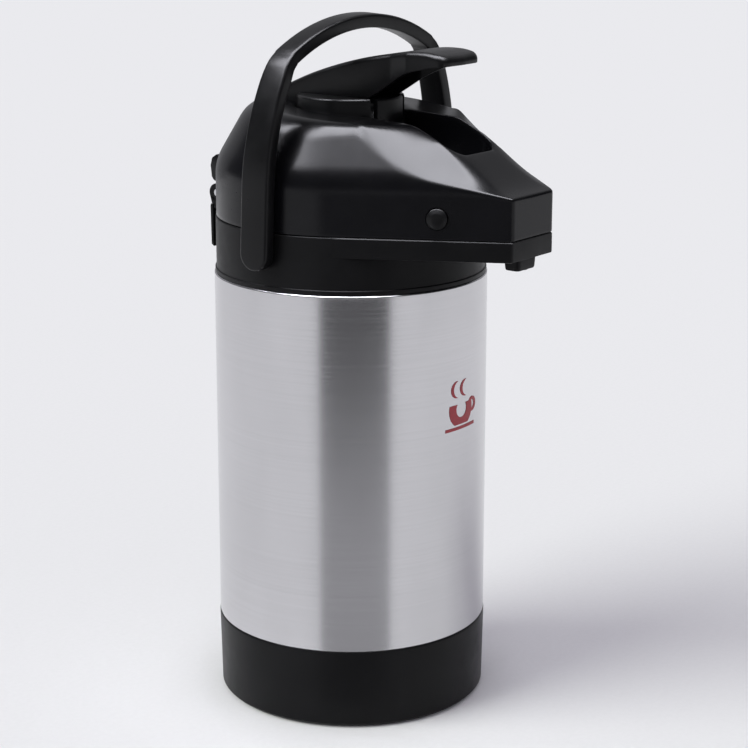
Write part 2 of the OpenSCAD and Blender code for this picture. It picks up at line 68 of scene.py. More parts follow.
R = box_mm("outer_shell")[1].x  # steel body
BASE_H = box_mm("base_cup")[1].z
SEAM = box_mm("collar")[1].z  # where the lid meets the collar
SHELL_TOP = SEAM - 32.5  # top of the steel
RC = R - 1.2  # collar
RL = R - 1.6  # lid
LID_Z = SEAM + 0.4  # bottom lip of the lid
PLATEAU = SEAM + 62.6  # flat top of the lid
FLOOR_Z = SEAM + 40.5  # floor round the plunger
REACH = -box_mm("lid_cover")[0].y  # front of the spout
BEAK_Z = box_mm("nozzle")[1].z - 1.0  # underside of the spout
BEAK_HALF = 20.25  # half the width of the spout's flat front
FACE_TOP = BEAK_Z + 35.3  # top of that front
HINGE = joint_mm("lid_open")
PIVOT = joint_mm("handle_swing")
LEVER = joint_mm("lever_press")
PLUNGER_R = box_mm("plunger")[1].x
PIN_BORE = 2.04  # radius


# ---- small maths -----------------------------------------------------------------------


def lerp(a, b, t):
    return a + (b - a) * t


def spaced(a, b, count):
    """Evenly spaced values after a, up to and including b."""
    return [lerp(a, b, i / count) for i in range(1, count + 1)]


def bisect(low, high, inside, steps=40):
    """The last value for which inside() holds, going up from low."""
    for _ in range(steps):
        mid = (low + high) / 2
        low, high = (mid, high) if inside(mid) else (low, mid)
    return low


def clamp(v, low=0.0, high=1.0):
    return max(low, min(high, v))


def smin(a, b, k):
    """The smaller of two values, blended where they are less than k apart."""
    h = max(k - abs(a - b), 0) / k
    return min(a, b) - h * h * k / 4


def through(keys, v):
    """Straight interpolation through (input, output) pairs."""
    for (x0, y0), (x1, y1) in zip(keys, keys[1:]):
        if v <= x1:
            return lerp(y0, y1, clamp((v - x0) / (x1 - x0)))
    return keys[-1][1]


def curve(keys, v):
    """Smooth interpolation through (input, output) pairs with Catmull-Rom slopes."""
    n = len(keys)
    i = max(0, min(n - 2, sum(1 for k in keys[1:-1] if v > k[0])))
    slopes = []
    for j in (i, i + 1):
        a, b = keys[max(0, j - 1)], keys[min(n - 1, j + 1)]
        slopes.append((b[1] - a[1]) / (b[0] - a[0]))
    x0, y0 = keys[i]
    x1, y1 = keys[i + 1]
    h = x1 - x0
    t = clamp((v - x0) / h)
    return ((2 * t ** 3 - 3 * t * t + 1) * y0 + (t ** 3 - 2 * t * t + t) * h * slopes[0]
            + (3 * t * t - 2 * t ** 3) * y1 + (t ** 3 - t * t) * h * slopes[1])


def bezier(a, b, c, steps):
    """Points on a quadratic curve from a to c with control point b, both ends included."""
    a, b, c = Vector(a), Vector(b), Vector(c)
    out = []
    for i in range(steps + 1):
        t = i / steps
        out.append(a * (1 - t) ** 2 + b * 2 * t * (1 - t) + c * t * t)
    return out


def fillet(corners, closed=True, steps=5):
    """Rounds a flat outline. Each corner is (x, y) or (x, y, radius)."""
    out = []
    n = len(corners)
    for i, corner in enumerate(corners):
        p = Vector(corner[:2])
        radius = corner[2] if len(corner) > 2 else 0
        if not radius or (not closed and i in (0, n - 1)):
            out.append(p)
            continue
        a = Vector(corners[i - 1][:2])
        b = Vector(corners[(i + 1) % n][:2])
        da, db = (a - p), (b - p)
        half = da.angle(db) / 2
        reach = min(radius / math.tan(half), da.length * 0.49, db.length * 0.49)
        out += bezier(p + da.normalized() * reach, p, p + db.normalized() * reach, steps)
    return out


def frame_at(place, angle, axis):
    """Matrix that turns a shape about its own origin and then takes it to a place."""
    return Matrix.Translation(place) @ Matrix.Rotation(angle, 4, axis)


def turn_about(point, angle, axis):
    """Matrix that turns a shape about a point."""
    return frame_at(point, angle, axis) @ Matrix.Translation(-point)


# ---- mesh building: a shape is a pair of verts, in millimetres, and faces --------------

SAME_POINT = 1e-7  # metres
SHARP = 38


def clean_mesh(name, verts, faces):
    """A mesh with doubled points merged and its faces turned outwards."""
    mesh = bpy.data.meshes.new(name)
    mesh.from_pydata([Vector(v) * MM for v in verts], [], faces)
    bm = bmesh.new()
    bm.from_mesh(mesh)
    bmesh.ops.remove_doubles(bm, verts=bm.verts, dist=SAME_POINT)
    bmesh.ops.recalc_face_normals(bm, faces=bm.faces)
    bm.to_mesh(mesh)
    bm.free()
    return mesh


def shade(piece, sharp):
    """Smooth shading, but for edges between faces that meet at more than sharp degrees."""
    piece.data.shade_smooth()
    piece.data.set_sharp_from_angle(angle=math.radians(sharp))


def placed(name, data):
    """A new object in the scene."""
    thing = bpy.data.objects.new(name, data)
    bpy.context.scene.collection.objects.link(thing)
    return thing


def make_object(name, verts, faces, body, replaces, slot, sharp=SHARP):
    """A visible piece that rides a body, takes the place of CAD nodes and wears a slot."""
    piece = placed(name, clean_mesh(name, verts, faces))
    shade(piece, sharp)
    piece.data.materials.append(MATERIALS[slot])
    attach(piece, body)
    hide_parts(*replaces)
    return piece


def add_to(piece, verts, faces, sharp=SHARP):
    """Another closed shell in the same piece."""
    extra = clean_mesh("extra", verts, faces)
    bm = bmesh.new()
    bm.from_mesh(piece.data)
    bm.from_mesh(extra)
    bm.to_mesh(piece.data)
    bm.free()
    bpy.data.meshes.remove(extra)
    shade(piece, sharp)


def carve(piece, verts, faces, sharp=SHARP):
    """Cuts a closed shape out of a piece."""
    mesh = clean_mesh("cutter", verts, faces)
    cutter = placed("cutter", mesh)
    change = piece.modifiers.new("carve", "BOOLEAN")
    change.operation = "DIFFERENCE"
    change.solver = "EXACT"
    change.object = cutter
    bpy.context.view_layer.update()
    graph = bpy.context.evaluated_depsgraph_get()
    result = bpy.data.meshes.new_from_object(piece.evaluated_get(graph))
    piece.modifiers.remove(change)
    old = piece.data
    result.name = old.name
    piece.data = result
    bpy.data.meshes.remove(old)
    bpy.data.objects.remove(cutter)
    bpy.data.meshes.remove(mesh)
    shade(piece, sharp)


def skin(rings, loop=False, caps=True):
    """A shape through equal rings of points; loop joins the last ring to the first."""
    n = len(rings[0])
    verts = [p for ring in rings for p in ring]
    faces = []
    m = len(rings)
    for k in range(m if loop else m - 1):
        a, b = k * n, ((k + 1) % m) * n
        for i in range(n):
            j = (i + 1) % n
            faces.append((a + i, a + j, b + j, b + i))
    if caps and not loop:
        faces.append(tuple(range(n - 1, -1, -1)))
        faces.append(tuple(range((m - 1) * n, m * n)))
    return verts, faces


def lathe(outline, segments=160):
    """A closed (radius, height) outline turned about the Z axis. Points on the axis close it."""
    verts, faces, rows = [], [], []
    for r, z in outline:
        if r < 1e-6:
            rows.append([len(verts)])
            verts.append((0, 0, z))
            continue
        rows.append(list(range(len(verts), len(verts) + segments)))
        verts += [(r * math.cos(TAU * i / segments), r * math.sin(TAU * i / segments), z)
                  for i in range(segments)]
    n = len(rows)
    for k in range(n):
        a, b = rows[k], rows[(k + 1) % n]
        if len(a) == 1 and len(b) == 1:
            continue
        for i in range(segments):
            j = (i + 1) % segments
            if len(a) == 1:
                faces.append((a[0], b[j], b[i]))
            elif len(b) == 1:
                faces.append((a[i], a[j], b[0]))
            else:
                faces.append((a[i], a[j], b[j], b[i]))
    return verts, faces


def moved(shape, matrix):
    """A shape taken through a matrix."""
    verts, faces = shape
    return [matrix @ Vector(v) for v in verts], faces


def prism_x(outline, x0, x1, bevel, steps=3):
    """A (y, z) outline drawn out along X with every edge rounded."""
    bm = bmesh.new()
    low = [bm.verts.new((x0, p[0], p[1])) for p in outline]
    high = [bm.verts.new((x1, p[0], p[1])) for p in outline]
    n = len(outline)
    bm.faces.new(low)
    bm.faces.new(high[::-1])
    for i in range(n):
        bm.faces.new((low[i], high[i], high[(i + 1) % n], low[(i + 1) % n]))
    bmesh.ops.recalc_face_normals(bm, faces=bm.faces)
    corner = math.radians(25)
    edges = [e for e in bm.edges if e.calc_face_angle(0) > corner]
    bmesh.ops.bevel(bm, geom=edges, offset=bevel, segments=steps, profile=0.5, affect="EDGES",
                    clamp_overlap=True)
    bm.verts.index_update()
    verts = [v.co.copy() for v in bm.verts]
    faces = [tuple(v.index for v in f.verts) for f in bm.faces]
    bm.free()
    return verts, faces


def joined(*shapes):
    """Several shapes as one."""
    verts, faces = [], []
    for more, loops in shapes:
        base = len(verts)
        verts += list(more)
        faces += [tuple(base + i for i in face) for face in loops]
    return verts, faces


# ---- materials -------------------------------------------------------------------------


class Nodes:
    """A little help for writing node materials."""

    def __init__(self, name):
        self.material = bpy.data.materials.new(name)
        self.material.use_nodes = True
        self.tree = self.material.node_tree
        self.shader = self.tree.nodes["Principled BSDF"]
        self.place = self.add("ShaderNodeTexCoord", {}).outputs["Object"]

    def feed(self, socket, value):
        """Links a node's output to a socket, or sets a plain value on the socket itself."""
        if hasattr(value, "node"):
            self.tree.links.new(value, socket)
        else:
            socket.default_value = value

    def add(self, kind, inputs):
        node = self.tree.nodes.new(kind)
        for key, value in inputs.items():
            self.feed(node.inputs[key], value)
        return node

    def set(self, **values):
        for key, value in values.items():
            self.feed(self.shader.inputs[key.replace("_", " ")], value)

    def scaled(self, *scale):
        node = self.add("ShaderNodeMapping", {"Vector": self.place, "Scale": scale})
        return node.outputs["Vector"]

    def noise(self, vector, scale, detail=3.0, rough=0.55):
        node = self.add("ShaderNodeTexNoise", {"Vector": vector, "Scale": scale,
                                               "Detail": detail, "Roughness": rough})
        return node.outputs["Fac"]

    def spread(self, noise, low, high):
        """Takes the middle of a noise's range to low..high."""
        node = self.add("ShaderNodeMapRange", {"Value": noise, "From Min": 0.3, "From Max": 0.7,
                                               "To Min": low, "To Max": high})
        return node.outputs["Result"]

    def mottled(self, noise, colour, dark, light, low=0.3, high=0.7):
        """A colour that goes from dark times to light times itself with a noise."""
        node = self.add("ShaderNodeValToRGB", {"Fac": noise})
        for end, at, times in zip(node.color_ramp.elements, (low, high), (dark, light)):
            end.position = at
            end.color = (*(min(1, c * times) for c in colour), 1)
        return node.outputs["Color"]

    def times(self, colour, factor):
        node = self.add("ShaderNodeVectorMath", {})
        node.operation = "SCALE"
        self.feed(node.inputs[0], colour)
        self.feed(node.inputs["Scale"], factor)
        return node.outputs["Vector"]

    def bump(self, height, distance):
        return self.add("ShaderNodeBump", {"Height": height, "Distance": distance,
                                           "Strength": 1.0}).outputs["Normal"]


def plastic(name, colour, rough, grain=1800, depth=0.00002, spread=0.05, specular=0.5):
    """Moulded plastic: fine moulding grain, faint flow marks and uneven roughness."""
    n = Nodes(name)
    place = n.scaled(1, 1, 1)
    fine = n.noise(place, grain, 3, 0.6)
    flow = n.noise(place, 26, 4, 0.6)
    n.set(Base_Color=n.mottled(flow, colour, 0.75, 1.25),
          Roughness=n.spread(n.noise(place, 60, 4, 0.65), rough - spread, rough + spread),
          Normal=n.bump(fine, depth), Specular_IOR_Level=specular)
    return n.material


def steel(name, colour, rough, stretch, depth=0.000012, spread=0.05, turned=0.0, streak=0.12,
          cloud=0.02):
    """Steel with fine drawn lines; stretch sets which way the lines run."""
    n = Nodes(name)
    lines = n.noise(n.scaled(*stretch), 1.0, 6, 0.7)
    wide = n.noise(n.scaled(stretch[0] * 0.6, stretch[1] * 0.6, stretch[2] * 0.4), 1.0, 4, 0.6)
    clouds = n.spread(n.noise(n.scaled(24, 24, 8), 1.0, 3, 0.5), 1 - cloud, 1 + cloud)
    drawn = n.mottled(lines, colour, 1 - streak, 1 + 0.6 * streak)
    n.set(Metallic=1.0, Base_Color=n.times(drawn, clouds),
          Roughness=n.spread(wide, rough - spread, rough + spread),
          Normal=n.bump(lines, depth), Anisotropic=turned)
    return n.material


def rubber(name, colour, rough=0.75):
    """Dull rubber or silicone with a fine skin."""
    n = Nodes(name)
    place = n.scaled(1, 1, 1)
    n.set(Base_Color=n.mottled(n.noise(place, 40, 4), colour, 0.8, 1.25),
          Roughness=n.spread(n.noise(place, 90, 3), rough - 0.06, rough + 0.06),
          Normal=n.bump(n.noise(place, 900, 3, 0.7), 0.00005), Specular_IOR_Level=0.35)
    return n.material


def printed_ink(name, colour):
    """Screen print with a faint speckle."""
    n = Nodes(name)
    speck = n.noise(n.scaled(1, 1, 1), 700, 4, 0.7)
    n.set(Base_Color=n.mottled(speck, colour, 0.75, 1.15, 0.35, 0.65),
          Roughness=n.spread(speck, 0.38, 0.5), Normal=n.bump(speck, 0.000008))
    return n.material


MATERIALS = {
    "black_matte": plastic("black_matte", (0.0035, 0.0035, 0.004), 0.4, depth=0.00003,
                           specular=0.15),
    "black_gloss": plastic("black_gloss", (0.003, 0.003, 0.004), 0.25, grain=1400,
                           depth=0.00001, spread=0.03, specular=0.22),
    "black_lever": plastic("black_lever", (0.0035, 0.0035, 0.004), 0.32, depth=0.00002,
                           specular=0.2),
    "dark_inner": plastic("dark_inner", (0.03, 0.03, 0.031), 0.5),
    "steel_brushed": steel("steel_brushed", (0.615, 0.61, 0.625), 0.2, stretch=(3, 3, 2000),
                           depth=0.000004, spread=0.03, turned=0.3, streak=0.07,
                           cloud=0.045),
    "steel_plain": steel("steel_plain", (0.66, 0.665, 0.68), 0.22, stretch=(90, 90, 30)),
    "screw_steel": steel("screw_steel", (0.5, 0.505, 0.52), 0.32, stretch=(300, 300, 300)),
    "foot_rubber": rubber("foot_rubber", (0.02, 0.02, 0.02)),
    "seal_rubber": rubber("seal_rubber", (0.14, 0.13, 0.12)),
    "emblem_ink": printed_ink("emblem_ink", (0.32, 0.02, 0.03)),
}


def dress_frame():
    """Every CAD node that stays in view gets its slot's procedural material."""
    for entry in frame["record"]["subparts"]:
        node = frame["nodes"][entry["node"]]
        material = MATERIALS[entry["material_slot"]]
        if not node.data.materials:
            node.data.materials.append(material)
        for place in node.material_slots:
            place.material = material


# ---- base, steel shell, collar ---------------------------------------------------------

ROUND = 192  # segments round the body
HINGE_HALF = 13.6  # half the width of the lid's hinge barrel
KNUCKLE_X = 17.7
KNUCKLE_HALF = 3.6


def build_base():
    top = BASE_H
    outline = fillet([
        (0, 4), (75, 4), (75, 1, 0.4), (R - 2, 1, 1.2), (R - 0.6, 2.6, 1.2),
        (R + 0.3, top - 1.1, 0.9), (R - 0.1, top, 0.4), (R - 1, top), (R - 1, top - 4.6),
        (R - 3, top - 4.6), (R - 3, 7), (0, 7)])
    make_object("Base", *lathe(outline, ROUND), "body", ["base_cup"], "black_matte")


def build_shell():
    low, top = BASE_H, SHELL_TOP
    rows = [(R, lerp(low + 3, top - 3, i / 12)) for i in range(13)]
    outline = fillet(
        [(R - 1.4, low - 4.5), (R - 1.4, low - 0.4, 0.4), (R, low, 0.9)] + rows
        + [(R, top - 0.1, 1.0), (R - 4, top - 0.1), (R - 4, top + 7.4), (R - 4.8, top + 7.4),
           (R - 4.8, top - 0.9), (R - 0.9, top - 0.9, 0.4), (R - 0.9, low + 1, 0.4),
           (R - 2.2, low, 0.4), (R - 2.2, low - 4.5)])
    make_object("Steel_sleeve", *lathe(outline, ROUND), "body", ["outer_shell"],
                "steel_brushed")


def beak_plan(reach, half, radius, back):
    """The spout in plan: its front edge, then both sides, back to where they enter the body."""
    far = math.hypot(reach, half)
    phi = math.atan2(half, reach) + math.acos(radius / far)
    tangent = (radius * math.sin(phi), -radius * math.cos(phi))
    inner = ((radius - back) * math.sin(phi), -(radius - back) * math.cos(phi))
    return fillet([(half, -reach, 2.5), tangent, inner, (-inner[0], inner[1]),
                   (-tangent[0], tangent[1]), (-half, -reach, 2.5)])


def build_collar():
    s = SHELL_TOP
    mouth, guard = 34.5, 38
    wall = fillet([
        (R - 3.9, s), (R - 0.5, s, 0.6), (R - 0.5, s + 2.7, 0.7), (RC, s + 2.7, 0.5),
        (RC, SEAM, 0.7), (RC - 3, SEAM, 0.5), (RC - 3, SEAM - 18), (guard, SEAM - 18),
        (guard, SEAM - 16.5), (mouth, SEAM - 16.5, 0.5), (mouth, SEAM - 29), (guard, SEAM - 29),
        (guard, SEAM - 21), (R - 6, SEAM - 21), (R - 3.9, s + 8)])
    ring = make_object("Collar", *lathe(wall, ROUND), "body", ["collar"], "black_matte")
    hollow = [[(p.x * 0.995, p.y + 0.2, z) for p in beak_plan(
        REACH - 2.7, BEAK_HALF - 1.7, RC - 2.75, 14)] for z in (BEAK_Z + 2.65, SEAM + 2)]
    carve(ring, *skin(hollow))
    # The spout's tray: (inset, height) up the outside, over the rim and down inside.
    levels = [(0.8, BEAK_Z), (0.23, BEAK_Z + 0.23), (0, BEAK_Z + 0.8), (0, SEAM - 0.5),
              (0.5, SEAM), (2.6, SEAM), (2.6, BEAK_Z + 2.6)]
    tray = [[(p.x, p.y, z) for p in beak_plan(REACH - d, BEAK_HALF - 0.6 * d, RC - 0.05 - d, 8)]
            for d, z in levels]
    add_to(ring, *skin(tray))
    boss = lathe(fillet([(0, 0), (6.5, 0), (6.5, 9.6, 0.5), (0, 9.6)]), 48)
    for side in (-1, 1):
        place = frame_at((side * 70.8, 0, PIVOT.z), side * math.pi / 2, "Y")
        add_to(ring, *moved(boss, place))


def boxed_ring(hx, hy, r, z, count=96):
    """A rounded rectangle as one ring of points, spaced evenly in angle."""
    ring = []
    for i in range(count):
        c, s = math.cos(TAU * i / count), math.sin(TAU * i / count)
        rho = bisect(0.0, 2 * hx, lambda d: rounded_box(d * c, d * s, 0, 0, hx, hy, r) < 0, 30)
        ring.append((rho * c, rho * s, z))
    return ring


NOZZLE_Y = -118.2


def build_nozzle():
    half = box_mm("nozzle")[1].x
    # Half width, half depth, corner radius and height over the spout's underside: down the
    # outside, up the bore and out over the hidden flange.
    sizes = [(half, 5.1, 2.4, -0.1), (half, 5.1, 2.4, -1.0), (half - 0.25, 4.95, 2.3, -4.0),
             (half - 0.5, 4.8, 2.2, -6.0), (half - 0.8, 4.5, 2.0, -6.7),
             (half - 1.5, 3.9, 1.8, -7), (4.4, 4.4, 4.4, -7), (3.9, 3.9, 3.9, -6.5),
             (3.75, 3.75, 3.75, -0.2), (5.1, 5.1, 5.1, 1.0), (6, 6, 6, 1.0), (6, 6, 6, -0.1)]
    rings = [boxed_ring(hx, min(hy, hx), r - 0.001, BEAK_Z + up) for hx, hy, r, up in sizes]
    shape = moved(skin(rings, loop=True), Matrix.Translation((0, NOZZLE_Y, 0)))
    make_object("Nozzle", *shape, "body", ["nozzle"], "black_matte")


def barrel(radius, half, corner):
    """A hinge knuckle bored for the pin, turned about Z."""
    return lathe(fillet([(PIN_BORE, -half, 0.3), (radius, -half, corner), (radius, half, corner),
                         (PIN_BORE, half, 0.3)]), 48)


def build_bracket():
    y, z = HINGE.y, HINGE.z
    plate = prism_x([(y + 2, SEAM - 27), (y + 4, SEAM - 25.6), (y + 4.4, z - 8), (y + 3.6, z - 6.6),
                     (y + 2, z - 6.6)], -22, 22, 0.5)
    pad = prism_x([(RC - 0.6, SEAM - 22), (y + 2.5, SEAM - 22), (y + 2.5, z - 8.6),
                   (RC - 0.6, z - 8.6)], -15, 15, 0.4)
    ear = [(y - 2.2, z - 9.5), (y - 3.2, z - 4.3), (y - 1, z - 3.4), (y + 5.1, z - 2),
           (y + 3, z - 9.5)]
    parts = [plate, pad]
    for side in (-1, 1):
        x = side * KNUCKLE_X
        parts.append(moved(barrel(5.5, KNUCKLE_HALF, 0.5), frame_at((x, y, z), math.pi / 2, "Y")))
        parts.append(prism_x(ear, x - KNUCKLE_HALF, x + KNUCKLE_HALF, 0.4))
    bracket = make_object("Hinge_bracket", *joined(*parts), "body", ["hinge_bracket"],
                          "black_matte", sharp=30)
    screw_hole = lathe([(0, 0), (3.4, 0), (3.4, 10), (0, 10)], 32)
    for x in (-7.5, 7.5):
        place = frame_at((x, y + 0.6, SEAM - 12), -math.pi / 2, "X")
        carve(bracket, *moved(screw_hole, place), sharp=30)


# ---- lid: u is the distance in front of the axis, and psi the angle from the front -----

SLOPE_RUN, SLOPE_RISE, SLOPE_BEND = 76.4, 22.27, 10.93
WALL_TURN = math.atan2(BEAK_HALF, REACH) + math.acos(RL / math.hypot(REACH, BEAK_HALF))
EDGE_SLOPE, EDGE_LIFT, EDGE_FLAT = 0.21, 0.0082, 38.0
EDGE_END = 97  # how far back the crease is followed
DOME_START = SEAM + 24
DOME_TURN = 29.0  # radius that the wall turns in with
DOME_ARC = 14.5  # height of that turn, which ends at 30 degrees from upright
DOME_INSET = 3.885  # how far in it ends
DOME_CONE = 0.5774  # tan 30 degrees
CROWN_END = 140
CROWN = [(0, 8), (60, 8), (78, 8.8), (90, 7.2), (108, 3.8), (126, 0), (CROWN_END, 0)]
WELL_END = 94
WELL_FLOOR = [(44, 40.5), (48, 38.1), (53, 35.9), (60, 35), (76, 35), (83, 35.9), (87.5, 38.7),
              (91, 44), (WELL_END, 54.5)]
CREASE_ROUND = [(0, 2.0), (10, 1.6), (26, 1.8), (40, 3.2), (55, 6.5), (70, 8.5), (180, 8.5)]
RIM_ROUND = [(0, 3.0), (20, 3.5), (60, 4.0), (100, 3.0), (150, 2.4), (180, 2.4)]
HOLE_R = 31.6
PLATEAU_FALL = 0.065
TOP_BLEND = 2.0
FRONT_ROUND = 2.4
NEARLY_SQUARE = 1.5  # radians; a wall seen at more than this never crosses the section
# Plans of the openings: centre x and u, half width, half length and corner radius
WELL = (0, 37, 20.5, 53, 13)
LEVER_SLOT = (0, -24, 17, 34.5, 2.5)
PLUNGER_GAP = 1.2
BUTTON_X, BUTTON_Y, BUTTON_UP = 40.2, -90.4, 12
WALL_YAW = 29  # degrees from X forward to the way that the spout's side wall faces
LID_SHARP = 50


def slope_z(u):
    """Height of the CAD's plain slope down to the spout's front."""
    t = (REACH - u) / SLOPE_RUN
    return FACE_TOP + SLOPE_RISE * t + SLOPE_BEND * t * max(t, 0)


def edge_z(u):
    """Height of the crease between the spout's side wall and its top."""
    back = REACH - u
    return FACE_TOP + EDGE_SLOPE * back + EDGE_LIFT * max(back - EDGE_FLAT, 0) ** 2


def front_edge(z):
    """How far out and how wide the spout's front edge is at height z."""
    rise = z - FACE_TOP
    if rise <= 0:
        return REACH, BEAK_HALF
    flat = EDGE_SLOPE * EDGE_FLAT
    back = rise / EDGE_SLOPE
    if rise > flat:
        root = math.sqrt(EDGE_SLOPE ** 2 + 4 * EDGE_LIFT * (rise - flat))
        back = EDGE_FLAT + (root - EDGE_SLOPE) / (2 * EDGE_LIFT)
    u = REACH - min(back, EDGE_END)
    return u, (dome_r(z) - u * math.cos(WALL_TURN)) / math.sin(WALL_TURN)


def dome_r(z):
    """Radius of the lid's round part: upright, then turning in, then a cone."""
    up = z - DOME_START
    if up <= 0:
        return RL
    if up <= DOME_ARC:
        return RL - DOME_TURN * (1 - math.sqrt(1 - (up / DOME_TURN) ** 2))
    return RL - DOME_INSET - (up - DOME_ARC) * DOME_CONE


def side_rho(psi, z, reach=None):
    """Distance of the lid's outer wall from the axis."""
    psi = abs(psi)
    edge, half = front_edge(z)
    radius = dome_r(z)
    far = math.hypot(edge, half)
    if far <= radius:
        return radius
    phi = math.atan2(half, edge) + math.acos(radius / far)
    if psi >= phi:
        return radius
    front = (reach or edge) / math.cos(psi) if psi < NEARLY_SQUARE else math.inf
    side = radius / math.cos(phi - psi) if phi - psi < NEARLY_SQUARE else math.inf
    return min(front, side) if math.inf in (front, side) else smin(front, side, FRONT_ROUND)


def top_z(u, across=0.0):
    """Height of the lid's top; across runs from the outer crease, 0, to the well's rim, 1."""
    ridge = slope_z(u) + through(CROWN, clamp(u, 0, CROWN_END))
    share = 1 - (1 - clamp(across)) ** 2
    return smin(PLATEAU - PLATEAU_FALL * u, lerp(edge_z(u), ridge, share), TOP_BLEND)


def floor_z(u):
    """Height of the floor round the plunger and of the finger well in front of it."""
    if u <= WELL_FLOOR[0][0]:
        return FLOOR_Z
    return min(SEAM + curve(WELL_FLOOR, min(u, WELL_END)), top_z(u, 1.0) - 0.01)


def rounded_box(x, y, cx, cy, hx, hy, r):
    """Distance outside a rounded rectangle, negative inside it."""
    dx = abs(x - cx) - hx + r
    dy = abs(y - cy) - hy + r
    return math.hypot(max(dx, 0), max(dy, 0)) + min(max(dx, dy), 0) - r


def well_rho(psi):
    """Distance of the rim from the axis: round the plunger, the finger well and the lever."""
    def inside(rho):
        x, u = rho * math.sin(psi), rho * math.cos(psi)
        plunger = math.hypot(x, u) - PLUNGER_R - PLUNGER_GAP
        front = smin(plunger, rounded_box(x, u, *WELL), 6)
        return smin(front, rounded_box(x, u, *LEVER_SLOT), 2) < 0
    return bisect(20.0, 110.0, inside)


def crease_rho(psi):
    """Where the lid's top meets its outer wall."""
    return bisect(30.0, 140.0,
                  lambda rho: side_rho(psi, top_z(rho * math.cos(psi)), REACH) > rho)


def lid_column(psi):
    """One section of the lid, as (rho, height) points: up the outside from the lip, over the
    top, down into the well, in to the plunger's hole and back to the lip inside."""
    cosine = math.cos(psi)
    angle = abs(math.degrees(psi))
    lip, crease, rim = side_rho(psi, LID_Z), crease_rho(psi), well_rho(psi)
    shelf = crease - rim

    def top(rho):
        return top_z(rho * cosine, (crease - rho) / shelf)

    def floor(rho):
        return floor_z(rho * cosine)

    crease_z = top_z(crease * cosine)
    turn = through(CREASE_ROUND, angle)
    side_z = crease_z - turn
    out = [(lip - 2.2, LID_Z), (lip - 0.5, LID_Z), (lip - 0.15, LID_Z + 0.15), (lip, LID_Z + 0.5)]
    out += [(side_rho(psi, z), z) for z in spaced(LID_Z + 0.5, side_z, 26)]

    rim_z = top(rim)
    roll = min(through(RIM_ROUND, angle), max(rim_z - floor(rim), 0.02) * 0.7)
    inner = crease - min(turn, shelf * 0.45)
    outer = rim + min(roll, shelf * 0.45)
    out += bezier((out[-1][0], side_z), (crease, crease_z), (inner, top(inner)), 7)[1:]
    out += [(rho, top(rho)) for rho in spaced(inner, outer, 12)]
    out += bezier((outer, top(outer)), (rim, rim_z), (rim, rim_z - roll), 6)[1:]

    foot = max(rim - 0.7, HOLE_R + 0.3)
    foot_in = foot - min(2.0, (foot - HOLE_R) * 0.5)
    toe = max(min(foot - foot_in, (rim_z - roll - floor(foot)) * 0.8), 0.0)
    wall_low = Vector((foot, floor(foot) + toe))
    out.append((lerp(rim, foot, 0.5), lerp(rim_z - roll, wall_low.y, 0.5)))
    out += bezier(wall_low, (foot, floor(foot)), (foot_in, floor(foot_in)), 5)
    out += [(rho, floor(rho)) for rho in spaced(foot_in, HOLE_R + 0.05, 16)]
    return out + [(HOLE_R, FLOOR_Z - 0.3), (HOLE_R, FLOOR_Z - 2.2), (HOLE_R + 1.5, FLOOR_Z - 9),
                  (lip - 3.4, LID_Z + 12), (lip - 2.2, LID_Z + 8)]


def lid_angles():
    """Angles of the lid's sections, closest together where the spout is."""
    half = []
    for low, high, step in ((0, 25, 0.5), (25, 75, 0.8), (75, 150, 1.5), (150, 180, 0.75)):
        count = round((high - low) / step)
        half += [lerp(low, high, i / count) for i in range(count)]
    half.append(180.0)
    return [math.radians(a) for a in half] + [math.radians(-a) for a in half[-2:0:-1]]


def button_place(side):
    """The release button's outward axis stands on the spout's side wall."""
    yaw = math.radians(-WALL_YAW if side > 0 else 180 + WALL_YAW)
    place = frame_at((side * BUTTON_X, BUTTON_Y, SEAM + BUTTON_UP), yaw, "Z")
    return place @ Matrix.Rotation(math.pi / 2, 4, "Y")


def build_lid():
    angles = lid_angles()
    columns = [lid_column(a) for a in angles]
    rings = [[(rho * math.sin(a), -rho * math.cos(a), z)
              for a, (rho, z) in zip(angles, row)] for row in zip(*columns)]
    lid = make_object("Lid", *skin(rings, loop=True), "lid", ["lid_cover"], "black_gloss",
                      sharp=LID_SHARP)
    button_hole = lathe([(0, -10.5), (6.3, -10.5), (6.3, 6), (0, 6)], 64)
    for side in (-1, 1):
        carve(lid, *moved(button_hole, button_place(side)), sharp=LID_SHARP)
    y, z = HINGE.y, HINGE.z
    block = prism_x([(RL - 4, z + 6.6), (y + 3, z + 6.6), (y + 5, z + 9), (y + 5.8, z + 16),
                     (y + 4.6, z + 20.6), (y + 1, z + 23), (RL - 4, z + 23)], -20, 20, 1.0)
    web = prism_x([(RL - 3, z + 1), (y - 4.6, z - 3), (y - 2.2, z - 1), (y + 4.6, z + 3),
                   (y + 4.6, z + 8), (RL - 3, z + 8)], -HINGE_HALF, HINGE_HALF, 0.4)
    hinge = moved(barrel(5.9, HINGE_HALF, 0.5), frame_at((0, y, z), math.pi / 2, "Y"))
    for shape in (block, hinge, web):
        add_to(lid, *shape, sharp=LID_SHARP)


def build_buttons():
    outline = fillet([(0, -5.9), (4.8, -5.9), (4.8, -3.4), (5.8, -3.4), (5.8, 1.2, 0.7),
                      (3.1, 2.45, 4), (0, 2.7)])
    for name, side in (("left", -1), ("right", 1)):
        make_object("Button_" + name, *moved(lathe(outline, 64), button_place(side)),
                    name + "_button", ["button_" + name], "black_lever")


# ---- plunger and lever -----------------------------------------------------------------

LEVER_HALF = 15.0
PADDLE_HALF = 18.5
LEVER_BACK = -51.6
LEVER_TIP = 79.4
LEVER_SHEET = 2.4
LEVER_ROLL = 3.0
LEVER_LIP = 0.6
